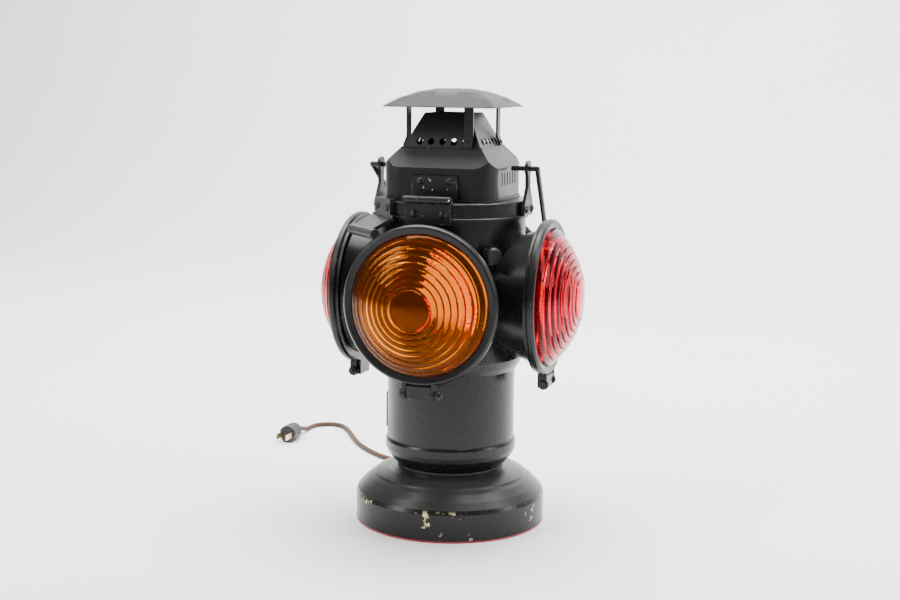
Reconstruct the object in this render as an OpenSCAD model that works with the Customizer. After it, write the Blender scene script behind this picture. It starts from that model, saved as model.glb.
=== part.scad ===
// Four-lens railway switch lamp, converted to an electric lamp.
// Millimetres, +Z up. Origin: centre of the foot, on the surface it stands on.
// The front lens looks along -Y, the right lens along +X.

/* [Base] */
// Largest radius of the cast foot
foot_r = 92.6; // [80:0.2:110]
// Height of the foot's upright edge
foot_h = 27; // [20:1:34]
// Thickness of the cast foot's wall
foot_wall = 4; // [3:0.5:6]
// Thickness of the felt pad under the foot
felt_t = 1.6; // [1:0.1:3]
// Radius of the waist between foot and barrel
waist_r = 52; // [44:0.5:56]
// Height of the waist
waist_z = 53; // [50:0.5:60]

/* [Body] */
// Outer radius of the lower barrel
barrel_r = 62; // [58:0.5:66]
// Height of the bead round the barrel's bottom
bead_z = 78; // [72:1:90]
// Outer radius of the lens drum
drum_r = 70; // [68:0.5:74]
// Thickness of the barrel and drum sheet
sheet = 1.6; // [1.2:0.1:2.5]
// Height where the barrel meets the drum
drum_z = 152; // [140:1:156]
// Height of the underside of the collar band
collar_z = 299; // [296:1:310]
// Height of the collar band
collar_h = 17; // [12:0.5:24]

/* [Lenses] */
// Height of the lens centres
lens_z = 224.5; // [215:0.5:235]
// Radius of the visible glass
glass_r = 65; // [58:0.5:70]
// Height of the glass dome above the bezel's face
dome_h = 29.5; // [20:0.5:34]
// Number of raised rings on each lens
lens_rings = 8; // [5:1:10]
// Distance from the axis to the bezel's face
bezel_face = 100.5; // [96:0.5:108]
// Depth of a bezel
bezel_t = 7.7; // [6:0.1:10]
// Width of a bezel's face
bezel_w = 9.3; // [7:0.1:12]
// Radius of a bezel bolt
bolt_r = 2; // [1.5:0.1:2.5]

/* [Lid] */
// Half width of the lid
lid_a = 55; // [50:0.5:58]
// Radius of the lid's upright corners
lid_round = 20; // [12:0.5:24]
// Height of the lid's upright sides
lid_side_h = 31; // [24:0.5:36]
// Height of the lid's sloping shoulder
shoulder_h = 17; // [12:0.5:22]
// Half width of the vent hood's foot
hood_a = 38.5; // [34:0.5:42]
// Half width of the vent hood's mouth
hood_top_a = 22; // [18:0.5:30]
// Height of the vent hood
hood_h = 33; // [26:0.5:36]
// Radius of a vent hole
vent_r = 3.2; // [2:0.1:4]
// Distance between vent holes
vent_gap = 11.2; // [9:0.1:12]
// Half width of the rain cap
cap_a = 54.5; // [48:0.5:60]
// Gap between the vent hood's mouth and the cap's rim
cap_gap = 5.5; // [4:0.5:14]
// Height of the rain cap's dome
cap_h = 17; // [10:0.5:24]
// Radius of the hinge pin
hinge_r = 1.8; // [1.4:0.1:2.4]

/* [Bail] */
// Radius of the bail wire
bail_r = 2.5; // [2:0.1:3.2]
// Height of the bail's pivots
bail_z = 346; // [340:0.5:356]
// Distance from the axis to the middle of a bail arm's foot
bail_x = 83; // [80:0.5:90]
// Half width of the bail's round end
bail_bow = 72; // [60:1:78]
// Distance from the pivots to the middle of the round end
bail_reach = 181.6; // [178:0.2:200]
// Angle that the bail hangs below level, at the back
bail_rest = 40.5; // [36:0.5:41]

/* [Cord] */
// Radius of the mains cord
cord_r = 2.6; // [2:0.1:3.5]

/* [Hidden] */
$fn = 72;
// Gap between pieces of different bodies, and the play of a pin in its hole
gap = 0.4;
play = 0.05;
side_angles = [0, 90, 180, 270];
// Heights
collar_top = collar_z + collar_h;
lid_z = collar_top + gap;
shoulder_z = lid_z + lid_side_h;
hood_z = shoulder_z + shoulder_h;
vent_z = hood_z + 6.4;
cap_z = hood_z + hood_h + cap_gap;
collar_r = drum_r + 1.6;
barrel_top = drum_z;
bowl_r = waist_r;
// Number plate
plate_t = 1.4;
plate_w = 40;
plate_z = 90;
plate_h = 34;
// Lens and bezel
bezel_r = glass_r + bezel_w;
bezel_back = bezel_face - bezel_t;
flange_t = 2.6;
flange_face = bezel_back - 0.05;
flange_r = bezel_r - 2;
tunnel_in_r = glass_r - 12;
tunnel_out_r = glass_r - 0.5;
tunnel_start = 60;
lens_rim_r = glass_r + 4;
lens_rim_t = 3.4;
lens_back = bezel_back + 0.9;
gasket_t = lens_back - bezel_back;
dome_r = (glass_r * glass_r + dome_h * dome_h) / (2 * dome_h);
lens_t = 6;
eye_r = 20;
ring_w = (glass_r - eye_r) / lens_rings;
ear_x = 14;
ear_t = 3;
ear_y = bezel_r + 8;
ear_round = 5;
bolt_z = bezel_back + bezel_t / 2;
lug_w = 2 * ear_x - ear_t - 1;
// Hinge
hinge_y = collar_r + 5.2;
hinge_z = collar_top + 3.6;
knuckle_r = hinge_r + 1.8;
leaf_t = 1.6;
leaf_w = 44;
knuckle_w = 14.4;
leaf_rivet_x = 14;
leaf_z0 = collar_z + 1;
lid_leaf_top = lid_z + 24;
rivet_r = 4;
rivet_h = 2.2;
// Bail
ear_plate_t = 3;
ear_plate_x = collar_r + 0.8;
bail_inner = 58;
bend_r = bail_r + 0.06;
bow_y = bail_reach - bail_bow;
ear_eye_r = 7.5;
ear_foot_z = collar_z + 9;
// Corner bracket
roll_x = 95;
roll_z = 287;
roll_r = 4.6;
roll_pin_r = 2.6;
roll_w = 52;
strip_w = 44;
bracket_rivet_x = 11;
// Sight tube
sight_z = 268;
sight_r = 7.4;
sight_end = drum_r + 9;
plug_bore = 5.6;
// Electric parts
stem_r = 5;
holder_z = 150;
holder_r = 17;
holder_h = 38;
bulb_r = 28;
bulb_z = lens_z + 4;
bulb_cap_r = 13;
bulb_foot_z = holder_z + 39;
// The cord leaves the foot towards the back
cord_z = 9;
cord_turn = 107.65;
coil_in_r = 22.6;
coil_out_r = 41.3;
coil_at = [-47, 153.6];
coil_in = coil_in_r - cord_r - 0.2;
coil_out = coil_out_r + cord_r;
coil_h = 4 * cord_r + 0.1;
// Points of the cord from the grommet to the coil, and from the coil to the plug
lead_pts = [[-28.2, 88.6, 9], [-30.5, 96, 8.4], [-35, 103, 6.2], [-42, 108.4, 4], [-51, 111.7, 2.8],
    [-62.2, 115.2, 2.65]];
run_pts = [[-85.8, 139.4, 7.9], [-89, 148.6, 7.4], [-94.6, 157.4, 6], [-102.4, 164.4, 4.2], [-112, 169, 3],
    [-122, 172, 2.65], [-135, 177.5, 2.65], [-148, 187, 2.65], [-163, 201, 2.65], [-176, 215, 2.65],
    [-188, 230.5, 2.65], [-203, 254, 2.65], [-217, 277, 2.65], [-227.5, 291.5, 2.65], [-237.2, 300.6, 2.65],
    [-248.6, 303.4, 2.65], [-259.6, 299.6, 2.65], [-266.8, 290.8, 2.65], [-269, 280, 2.65], [-269, 269, 3.3],
    [-269, 257, 6.3], [-269, 243, 9.8]];
plug_at = [-269, 243, 10];
plug_r = 10;
plug_len = 34;

// ---------- shared shapes ----------
module side(a) translate([0, 0, lens_z]) rotate([0, 0, a]) rotate([90, 0, 0]) children();
module rounded_square(a, r) {
    square([2 * a, 2 * (a - r)], center = true);
    square([2 * (a - r), 2 * a], center = true);
    for (x = [-1, 1], y = [-1, 1]) translate([x * (a - r), y * (a - r)]) circle(r);
}
// A four-sided taper from half width a to b
module taper(a, b, h) {
    intersection() {
        rotate([90, 0, 0]) linear_extrude(4 * a, center = true)
            polygon([[-a, 0], [a, 0], [b, h], [-b, h]]);
        rotate([90, 0, 90]) linear_extrude(4 * a, center = true)
            polygon([[-a, 0], [a, 0], [b, h], [-b, h]]);
    }
}
// A round-headed rivet that stands on z = 0 and reaches down into the sheet
module rivet(r = rivet_r, h = rivet_h, shank = 3) {
    ball = (r * r + h * h) / (2 * h);
    intersection() {
        translate([0, 0, h - ball]) sphere(ball);
        cylinder(r = r, h = h);
    }
    translate([0, 0, -shank]) cylinder(r = r * 0.45, h = shank + 0.1);
}
module rod(p, q, r) {
    d = q - p;
    n = norm(d);
    translate(p) rotate([0, acos(d[2] / n), atan2(d[1], d[0])]) cylinder(r = r, h = n);
}
// A tube swept along points, for the cord's free stretches
module swept(pts, r, sides = 8) {
    n = len(pts);
    dirs = [for (i = [0:n - 1]) let (d = pts[min(i + 1, n - 1)] - pts[max(i - 1, 0)]) d / norm(d)];
    rings = [for (i = [0:n - 1]) let (a = cross(dirs[i], [0, 0, 1]), u = a / norm(a), v = cross(u, dirs[i]))
        for (k = [0:sides - 1]) pts[i] + r * (cos(k * 360 / sides) * u + sin(k * 360 / sides) * v)];
    walls = [for (i = [0:n - 2], k = [0:sides - 1])
        [i * sides + k, (i + 1) * sides + k, (i + 1) * sides + (k + 1) % sides, i * sides + (k + 1) % sides]];
    polyhedron(rings, concat(walls, [[for (k = [0:sides - 1]) k]],
        [[for (k = [sides - 1:-1:0]) (n - 1) * sides + k]]), convexity = 6);
}

// ---------- foot and body ----------
foot_profile = [[foot_r, foot_h], [foot_r - 1.6, foot_h + 4], [foot_r - 7, foot_h + 10], [foot_r - 14, foot_h + 16],
    [foot_r - 18, foot_h + 18.5], [foot_r - 19.5, foot_h + 20.2], [foot_r - 24, foot_h + 22.2],
    [foot_r - 30, foot_h + 24.6], [waist_r + 3, waist_z - 0.6], [waist_r, waist_z], [waist_r, waist_z + 3]];
module foot() {
    color("#1c1d1c") difference() {
        rotate_extrude() polygon(concat([[0, felt_t], [foot_r - 0.8, felt_t]], foot_profile, [[0, waist_z + 3]]));
        rotate_extrude() polygon([[0, felt_t - 1], [foot_r - foot_wall, felt_t - 1], [foot_r - foot_wall, foot_h - 2],
            [foot_r - 22, foot_h + 12], [waist_r - 8, waist_z - 9], [0, waist_z - 9]]);
        translate([0, 0, waist_z - 12]) cylinder(r = stem_r, h = 20);
        rotate([0, 0, cord_turn]) translate([foot_r - 8, 0, cord_z]) rotate([0, 90, 0]) cylinder(r = 5, h = 12);
    }
}
module felt_pad() color("#8a1426") cylinder(r = foot_r - 0.4, h = felt_t);
module barrel() {
    color("#1e1f1e") rotate_extrude() polygon([[stem_r, waist_z + 3], [bowl_r, waist_z + 3],
        [bowl_r + 4.6, waist_z + 8], [barrel_r, bead_z - 10], [barrel_r + 1.8, bead_z - 5],
        [barrel_r + 1.8, bead_z + 2], [barrel_r + 1, bead_z + 4],
        [barrel_r, bead_z + 5], [barrel_r, barrel_top], [barrel_r - sheet, barrel_top],
        [barrel_r - sheet, bead_z - 8], [bowl_r, waist_z + 10], [bowl_r - 3, waist_z + 6], [stem_r, waist_z + 6]]);
}
module tunnels(grow) {
    for (a = side_angles) side(a) {
        translate([0, 0, tunnel_start - 8]) cylinder(r1 = tunnel_in_r - 2.6 + grow, r2 = tunnel_in_r + grow, h = 8);
        translate([0, 0, tunnel_start])
            cylinder(r1 = tunnel_in_r + grow, r2 = tunnel_out_r + grow, h = flange_face - tunnel_start - 1);
    }
}
module drum() {
    color("#1c1d1c") difference() {
        union() {
            rotate_extrude() polygon([[barrel_r - sheet, drum_z], [barrel_r + 1.2, drum_z],
                [barrel_r + 4.4, drum_z + 5], [drum_r, drum_z + 13], [drum_r, collar_z], [0, collar_z], [0, drum_z]]);
            tunnels(1.6);
            for (a = side_angles) side(a) {
                translate([0, 0, flange_face - flange_t]) cylinder(r = flange_r, h = flange_t);
                translate([-lug_w / 2, -ear_y - 4, flange_face - flange_t]) cube([lug_w, 22, flange_t]);
                translate([-lug_w / 2, -ear_y - 4, flange_face - 1])
                    cube([lug_w, ear_y + 4 - bezel_r - gap, bolt_z - flange_face + 4]);
            }
        }
        rotate_extrude() polygon([[0, drum_z - 1], [barrel_r - sheet, drum_z - 1], [barrel_r - sheet, drum_z + 3],
            [drum_r - sheet, drum_z + 15], [drum_r - sheet, collar_z - 2], [drum_r - 8, collar_z - 2],
            [drum_r - 8, collar_z + 1], [0, collar_z + 1]]);
        tunnels(0);
        for (a = side_angles) side(a) {
            translate([0, 0, flange_face - flange_t - 0.5]) cylinder(r = tunnel_out_r, h = 5);
            translate([-lug_w, -ear_y, bolt_z]) rotate([0, 90, 0]) cylinder(r = bolt_r, h = 60);
        }
        rotate([0, 0, -45]) translate([drum_r - 6, 0, sight_z]) rotate([0, 90, 0]) cylinder(r = plug_bore, h = 12);
    }
}
module collar() {
    color("#20211f") rotate_extrude() polygon([[drum_r - 8, collar_z], [collar_r + 0.8, collar_z],
        [collar_r + 0.8, collar_z + 2.4], [collar_r, collar_z + 3.2], [collar_r, collar_top - 1],
        [collar_r - 1, collar_top], [drum_r - 18, collar_top], [drum_r - 18, collar_top - 2],
        [drum_r - 8, collar_top - 2]]);
}
module number_plate() {
    color("#242523") rotate([0, 0, 180]) intersection() {
        difference() {
            cylinder(r = barrel_r + plate_t, h = drum_z);
            cylinder(r = barrel_r, h = drum_z);
        }
        translate([20, -plate_w / 2 - 1, plate_z]) cube([barrel_r, plate_w, plate_h]);
    }
}

// ---------- lid ----------
module lid_form(in, h_extra = 0) {
    intersection() {
        translate([0, 0, lid_z - h_extra]) linear_extrude(lid_side_h + shoulder_h + h_extra)
            rounded_square(lid_a - in, lid_round - in);
        union() {
            translate([-lid_a, -lid_a, lid_z - h_extra]) cube([2 * lid_a, 2 * lid_a, lid_side_h + h_extra]);
            translate([0, 0, shoulder_z]) taper(lid_a - in, hood_a + 1.6 - in, shoulder_h - in);
        }
    }
}
module lid() {
    color("#1b1c1c") difference() {
        union() {
            lid_form(0);
            translate([0, 0, lid_z]) linear_extrude(2) rounded_square(lid_a + 1.6, lid_round + 1.6);
        }
        lid_form(sheet, 1);
        translate([0, 0, hood_z - 5]) linear_extrude(10) square(2 * (hood_a - 3), center = true);
        for (s = [-1, 1], i = [-2.5:1:2.5])
            translate([s * lid_a, i * 9, lid_z + 20]) cube([6, 3, 12], center = true);
    }
}
module vent_hood() {
    color("#1f201f") difference() {
        union() {
            translate([0, 0, hood_z]) taper(hood_a, hood_top_a, hood_h);
            translate([0, 0, hood_z]) linear_extrude(1.4) square(2 * (hood_a + 1.2), center = true);
        }
        translate([0, 0, hood_z - 0.01]) taper(hood_a - sheet, hood_top_a - sheet, hood_h + 0.02);
        for (i = [-2:2]) {
            translate([i * vent_gap, 0, vent_z]) rotate([90, 0, 0]) cylinder(r = vent_r, h = 3 * hood_a, center = true);
            translate([0, i * vent_gap, vent_z]) rotate([0, 90, 0]) cylinder(r = vent_r, h = 3 * hood_a, center = true);
        }
    }
}
module cap_form(drop) {
    hull() {
        translate([0, 0, cap_z - drop]) linear_extrude(0.8) rounded_square(cap_a, 7, $fn = 32);
        translate([0, 0, cap_z + cap_h * 0.5 - drop]) linear_extrude(0.1) rounded_square(cap_a * 0.8, 14, $fn = 32);
        translate([0, 0, cap_z + cap_h * 0.84 - drop]) linear_extrude(0.1) rounded_square(cap_a * 0.56, 20, $fn = 32);
        translate([0, 0, cap_z + cap_h - drop]) cylinder(r = cap_a * 0.3, h = 0.1, $fn = 32);
    }
}
module rain_cap() {
    color("#2a2b2a") difference() {
        cap_form(0);
        translate([0, 0, -0.01]) cap_form(1.4);
    }
}
// Each strap rises from the hood's corner region to the underside of the cap
strap_in = hood_a - 2.5;
strap_y = hood_a - 12.5;
module strap() {
    translate([strap_in, 0, 0]) rotate([90, 0, 0]) linear_extrude(9, center = true)
        polygon([[2.9, hood_z + 1.5], [5.1, hood_z + 1.5], [1.4, hood_z + 11], [1.4, cap_z + 2.4],
            [-0.6, cap_z + 2.4], [-0.6, hood_z + 10.4]]);
}
module cap_straps() {
    color("#232423") for (a = side_angles) rotate([0, 0, a]) translate([0, strap_y, 0]) strap();
}
module strap_rivets() {
    color("#2b2c2b") for (a = side_angles) rotate([0, 0, a])
        translate([strap_in + 3.9, strap_y, hood_z + 5.4]) rotate([0, 68, 0]) rivet(2, 1.1, 2.4);
}

// ---------- lid hinge ----------
module knuckle(x0, w) translate([x0, -hinge_y, hinge_z]) rotate([0, 90, 0]) cylinder(r = knuckle_r, h = w);
module pin_hole(extra) translate([-60, -hinge_y, hinge_z]) rotate([0, 90, 0]) cylinder(r = hinge_r + extra, h = 120);
module hinge_lid_leaf() {
    color("#242523") difference() {
        union() {
            knuckle(-knuckle_w / 2, knuckle_w);
            translate([-knuckle_w / 2, -hinge_y, hinge_z - leaf_t / 2 + 1.4])
                cube([knuckle_w, hinge_y - lid_a - 1, leaf_t]);
            translate([-leaf_w / 2, -lid_a - 2.6, lid_z + 3]) cube([leaf_w, 2.6, lid_leaf_top - lid_z - 3]);
        }
        pin_hole(play);
    }
}
module hinge_body_leaf() {
    color("#242523") difference() {
        union() {
            for (s = [-1, 1]) knuckle(s * (leaf_w / 4 + knuckle_w / 4 + gap / 2) - knuckle_w / 2, knuckle_w);
            difference() {
                translate([-leaf_w / 2, -hinge_y + 1.2, leaf_z0 - 3]) cube([leaf_w, 5.4, collar_h + 4]);
                translate([0, 0, leaf_z0 - 6]) cylinder(r = collar_r + 0.9, h = 40);
                knuckle(-knuckle_w / 2 - gap, knuckle_w + 2 * gap);
                translate([-knuckle_w / 2 - gap, -hinge_y - 2, hinge_z - knuckle_r - gap])
                    cube([knuckle_w + 2 * gap, 12, 20]);
            }
        }
        pin_hole(-0.01);
    }
}
module hinge_pin() {
    color("#3a3a38") translate([-leaf_w / 2 - 1.6, -hinge_y, hinge_z]) rotate([0, 90, 0]) {
        cylinder(r = hinge_r, h = leaf_w + 3.2);
        cylinder(r = hinge_r + 1, h = 1.2);
    }
}
module hinge_lid_rivets() {
    color("#2b2c2b") for (s = [-1, 1])
        translate([s * leaf_rivet_x, -lid_a - 2.6, lid_leaf_top - 5]) rotate([90, 0, 0]) rivet(3.4, 2);
}
module hinge_body_rivets() {
    color("#2b2c2b") for (s = [-1, 1])
        translate([s * leaf_rivet_x, -hinge_y + 1.2, leaf_z0 + 6.5]) rotate([90, 0, 0]) rivet(3.8, 2.2);
}

// ---------- bail ----------
module bail() {
    color("#262725") {
        for (s = [-1, 1]) {
            translate([s * bail_inner, 0, bail_z]) rotate([0, s * 90, 0])
                cylinder(r = bail_r, h = bail_x - bail_inner);
            translate([s * bail_x, 0, bail_z]) sphere(bend_r);
        }
        translate([0, 0, bail_z]) rotate([-bail_rest, 0, 0]) {
            for (s = [-1, 1]) {
                rod([s * bail_x, 0, 0], [s * bail_bow, bow_y, 0], bail_r);
                translate([s * bail_bow, bow_y, 0]) sphere(bend_r);
            }
            translate([0, bow_y, 0]) rotate_extrude(angle = 180) translate([bail_bow, 0]) circle(bail_r);
        }
    }
}
module ear() {
    translate([ear_plate_x, 0, 0]) rotate([90, 0, 90]) difference() {
        linear_extrude(ear_plate_t) {
            translate([0, bail_z]) circle(ear_eye_r);
            polygon([[-4.4, bail_z], [-4.4, ear_foot_z + 20], [-15, ear_foot_z + 4], [-15, ear_foot_z - 6],
                [15, ear_foot_z - 6], [15, ear_foot_z + 4], [4.4, ear_foot_z + 20], [4.4, bail_z]]);
        }
        translate([0, bail_z, -5]) cylinder(r = bail_r + play, h = 20);
    }
}
module bail_ears() {
    color("#242523") for (a = [0, 180]) rotate([0, 0, a]) difference() {
        union() {
            ear();
            translate([collar_r - 3, -13, ear_foot_z - 6]) cube([5, 26, 11]);
        }
        cylinder(r = collar_r + 0.81, h = 400);
    }
}
module ear_rivets() {
    color("#2e2f2d") for (a = [0, 180], s = [-1, 1])
        rotate([0, 0, a]) translate([ear_plate_x + ear_plate_t, s * 9.5, ear_foot_z]) rotate([0, 90, 0])
            rivet(4, 2.4);
}

// ---------- corner bracket ----------
// The bracket stands at the front left corner
module at_corner() rotate([0, 0, 225]) children();
module corner_bracket() {
    color("#4a4b49") at_corner() difference() {
        union() {
            rotate([90, 0, 0]) linear_extrude(strip_w, center = true)
                polygon([[collar_r + 0.4, collar_z + 4], [collar_r + 3.4, collar_z + 4],
                    [collar_r + 3.4, collar_z + 2], [roll_x + 2, roll_z + roll_r - 0.6],
                    [roll_x - 2, roll_z + roll_r - 2.6], [collar_r + 0.9, collar_z]]);
            translate([60, -17, collar_z + 1]) cube([collar_r + 3.4 - 60, 34, collar_h + 1]);
            translate([roll_x, 0, roll_z]) rotate([90, 0, 0]) cylinder(r = roll_r, h = roll_w, center = true);
        }
        translate([0, 0, collar_z - 4]) cylinder(r = collar_r + 0.81, h = 40);
        translate([roll_x, 0, roll_z]) rotate([90, 0, 0]) cylinder(r = roll_pin_r, h = roll_w + 2, center = true);
    }
}
module bracket_pin() {
    color("#2a2a28") at_corner() translate([roll_x, 0, roll_z]) rotate([90, 0, 0])
        cylinder(r = roll_pin_r, h = roll_w - 2, center = true);
}
module bracket_rivets() {
    color("#2e2f2d") at_corner() for (s = [-1, 1])
        translate([collar_r + 3.4, s * bracket_rivet_x, collar_z + 11]) rotate([0, 90, 0]) rivet(4, 2.2);
}

// ---------- lenses ----------
// Height of the glass above the bezel's face at radius r
function dome(r) = dome_h - dome_r + sqrt(dome_r * dome_r - r * r);
function ring_points(i) = let (r0 = eye_r + i * ring_w, r1 = r0 + ring_w)
    [[r0 + 0.1, dome(r0) - 2.2], [r0 + ring_w * 0.35, dome(r0 + ring_w * 0.35) - 0.3],
    [r0 + ring_w * 0.75, dome(r0 + ring_w * 0.75) + 0.1], [r1 - 0.05, dome(r1) + 0.1]];
eye_points = [for (k = [0:5]) let (r = k * eye_r / 5) [r, dome(r)]];
module lens(a) {
    side(a) rotate_extrude() polygon(concat(
        [for (p = concat(eye_points, [for (i = [0:lens_rings - 1]) each ring_points(i)])) [p[0], p[1] + bezel_face]],
        [[glass_r - 0.3, lens_back + lens_rim_t], [lens_rim_r, lens_back + lens_rim_t], [lens_rim_r, lens_back],
        [glass_r - 5, lens_back]],
        [for (k = [5:-1:0]) let (r = k * (glass_r - 9) / 5) [r, bezel_face + dome(r) - lens_t]]));
}
module front_lens() color("#d2560a") lens(0);
module right_lens() color("#b00d2c") lens(90);
module rear_lens() color("#d2560a") lens(180);
module left_lens() color("#b00d2c") lens(270);
module bezel(a) {
    color("#20211f") side(a) difference() {
        union() {
            rotate_extrude() polygon([[lens_rim_r + 0.05, bezel_back], [bezel_r - 1.4, bezel_back],
                [bezel_r, bezel_back + 1.6], [bezel_r, bezel_face - 2.4], [bezel_r - 1.6, bezel_face - 0.4],
                [bezel_r - 3, bezel_face], [glass_r + 1.4, bezel_face - 0.8], [glass_r + 0.2, bezel_face - 2],
                [glass_r + 0.2, lens_back + lens_rim_t], [lens_rim_r + 0.05, lens_back + lens_rim_t]]);
            for (s = [-1, 1]) translate([s * ear_x - ear_t / 2, -ear_y, bolt_z]) {
                rotate([0, 90, 0]) cylinder(r = ear_round, h = ear_t);
                translate([0, 0, -bezel_t / 2 + 0.4]) cube([ear_t, 12, bezel_t - 0.8]);
            }
        }
        translate([-40, -ear_y, bolt_z]) rotate([0, 90, 0]) cylinder(r = bolt_r, h = 80);
    }
}
module front_bezel() bezel(0);
module right_bezel() bezel(90);
module rear_bezel() bezel(180);
module left_bezel() bezel(270);
module lens_gaskets() {
    color("#2b2622") for (a = side_angles) side(a) translate([0, 0, bezel_back]) difference() {
        cylinder(r = lens_rim_r, h = gasket_t);
        translate([0, 0, -1]) cylinder(r = glass_r - 4, h = 4);
    }
}
module bezel_bolts() {
    color("#2a2a28") for (a = side_angles) side(a)
        translate([-ear_x - ear_t / 2, -ear_y, bolt_z]) rotate([0, 90, 0]) {
            cylinder(r = bolt_r, h = 2 * ear_x + ear_t + 6);
            translate([0, 0, -3]) cylinder(r = 4, h = 3, $fn = 6);
        }
}
module bezel_nuts() {
    color("#2e2e2b") for (a = side_angles) side(a) translate([ear_x + ear_t / 2, -ear_y, bolt_z]) rotate([0, 90, 0])
        difference() {
            cylinder(r = 4.2, h = 3.4, $fn = 6);
            translate([0, 0, -1]) cylinder(r = bolt_r, h = 6);
        }
}

// ---------- sight tube ----------
module at_sight() rotate([0, 0, -45]) translate([0, 0, sight_z]) rotate([0, 90, 0]) children();
module sight_tube() {
    color("#20211f") at_sight() difference() {
        union() {
            translate([0, 0, drum_r - 3]) cylinder(r = sight_r, h = sight_end - drum_r);
            translate([0, 0, drum_r - 2]) cylinder(r = 11.5, h = 3.6);
        }
        translate([0, 0, drum_r - 5]) cylinder(r = plug_bore, h = 20);
    }
}
module sight_plug() {
    color("#2a2b2a") at_sight() {
        translate([0, 0, drum_r - 3]) cylinder(r = plug_bore - play, h = sight_end - drum_r + 1);
        translate([0, 0, sight_end - 3 + gap]) cylinder(r = 8.2, h = 6);
        translate([0, 0, sight_end + 3 + gap]) cylinder(r1 = 8.2, r2 = 6.6, h = 1.6);
    }
}

// ---------- electric parts ----------
module lamp_stem() {
    color("#a88a4a") difference() {
        translate([0, 0, waist_z - 14]) cylinder(r = stem_r, h = holder_z - waist_z + 14);
        translate([0, 0, waist_z - 15]) cylinder(r = stem_r - 1.2, h = holder_z);
    }
}
module stem_nut() {
    color("#a88a4a") difference() {
        translate([0, 0, waist_z - 13]) cylinder(r = 9, h = 4, $fn = 6);
        translate([0, 0, waist_z - 14]) cylinder(r = stem_r, h = 8);
    }
}
module lamp_holder() {
    color("#b8964c") translate([0, 0, holder_z]) difference() {
        union() {
            cylinder(r1 = 10, r2 = holder_r, h = 10);
            translate([0, 0, 10]) cylinder(r = holder_r, h = holder_h - 10);
        }
        translate([0, 0, 12]) cylinder(r = bulb_cap_r, h = holder_h);
    }
}
module bulb_cap() color("#c9c5b8") translate([0, 0, holder_z + 12]) cylinder(r = bulb_cap_r, h = 27);
module bulb() {
    color("#f6e9c8") rotate_extrude() intersection() {
        union() {
            translate([0, bulb_z]) circle(bulb_r);
            polygon([[0, bulb_foot_z], [12.6, bulb_foot_z], [13.6, bulb_foot_z + 5], [23.4, bulb_z - 15.4],
                [0, bulb_z - 10]]);
        }
        translate([0, bulb_foot_z]) square(200);
    }
}

// ---------- mains cord ----------
module cord_grommet() {
    color("#161514") rotate([0, 0, cord_turn]) translate([foot_r - 7, 0, cord_z]) rotate([0, 90, 0]) difference() {
        union() {
            cylinder(r = 5, h = 9);
            translate([0, 0, 7.1]) cylinder(r = 6.6, h = 2.6);
        }
        translate([0, 0, -1]) cylinder(r = cord_r, h = 14);
    }
}
module cord_lead() color("#43301f") swept(lead_pts, cord_r);
module cord_coil() {
    color("#43301f") translate([coil_at[0], coil_at[1], 0]) difference() {
        cylinder(r = coil_out, h = coil_h);
        translate([0, 0, -1]) cylinder(r = coil_in, h = coil_h + 2);
    }
}
module cord_run() color("#43301f") swept(run_pts, cord_r);
module plug() {
    color("#141312") translate(plug_at) rotate([90, 0, 0]) {
        cylinder(r1 = 4, r2 = 7.6, h = 10);
        translate([0, 0, 10]) cylinder(r = plug_r, h = plug_len - 10);
    }
}
module plug_prongs() {
    color("#b9a266") for (s = [-1, 1])
        translate([plug_at[0] + s * 6.35 - 0.75, plug_at[1] - plug_len - 16, plug_at[2] - 3.15]) cube([1.5, 17, 6.3]);
}

foot();
felt_pad();
barrel();
drum();
collar();
number_plate();
lid();
vent_hood();
rain_cap();
cap_straps();
strap_rivets();
hinge_lid_leaf();
hinge_body_leaf();
hinge_pin();
hinge_lid_rivets();
hinge_body_rivets();
bail();
bail_ears();
ear_rivets();
corner_bracket();
bracket_pin();
bracket_rivets();
front_lens();
right_lens();
rear_lens();
left_lens();
front_bezel();
right_bezel();
rear_bezel();
left_bezel();
lens_gaskets();
bezel_bolts();
bezel_nuts();
sight_tube();
sight_plug();
lamp_stem();
stem_nut();
lamp_holder();
bulb_cap();
bulb();
cord_grommet();
cord_lead();
cord_coil();
cord_run();
plug();
plug_prongs();
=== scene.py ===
"""Blender add-on that finishes a four-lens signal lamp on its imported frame."""
from math import cos, floor, pi, radians, sin, sqrt, tau

import bmesh
import bpy
from bpy.props import FloatProperty, FloatVectorProperty, IntProperty, PointerProperty
from mathutils import Matrix, Vector


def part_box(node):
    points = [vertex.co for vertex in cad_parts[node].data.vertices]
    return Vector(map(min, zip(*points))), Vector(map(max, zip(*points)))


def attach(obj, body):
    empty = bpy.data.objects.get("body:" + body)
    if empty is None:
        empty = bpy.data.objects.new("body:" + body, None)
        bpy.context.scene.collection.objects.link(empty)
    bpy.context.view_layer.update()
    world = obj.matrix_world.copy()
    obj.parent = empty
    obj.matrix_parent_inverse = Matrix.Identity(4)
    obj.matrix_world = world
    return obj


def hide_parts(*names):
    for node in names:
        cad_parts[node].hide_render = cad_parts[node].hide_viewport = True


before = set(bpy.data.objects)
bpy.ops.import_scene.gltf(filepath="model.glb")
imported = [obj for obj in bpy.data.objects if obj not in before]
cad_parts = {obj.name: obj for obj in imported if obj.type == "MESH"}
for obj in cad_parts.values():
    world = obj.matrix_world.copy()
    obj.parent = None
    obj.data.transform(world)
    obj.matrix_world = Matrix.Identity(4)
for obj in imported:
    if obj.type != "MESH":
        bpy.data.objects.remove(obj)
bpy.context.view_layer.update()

bl_info = {
    "name": "Signal lamp",
    "version": (1, 0, 0),
    "blender": (4, 5, 0),
    "location": "View3D > Sidebar > Signal lamp",
    "description": "Builds the lenses, cord, plug and finishes of a four-lens signal lamp",
    "category": "Add Mesh",
}

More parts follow.
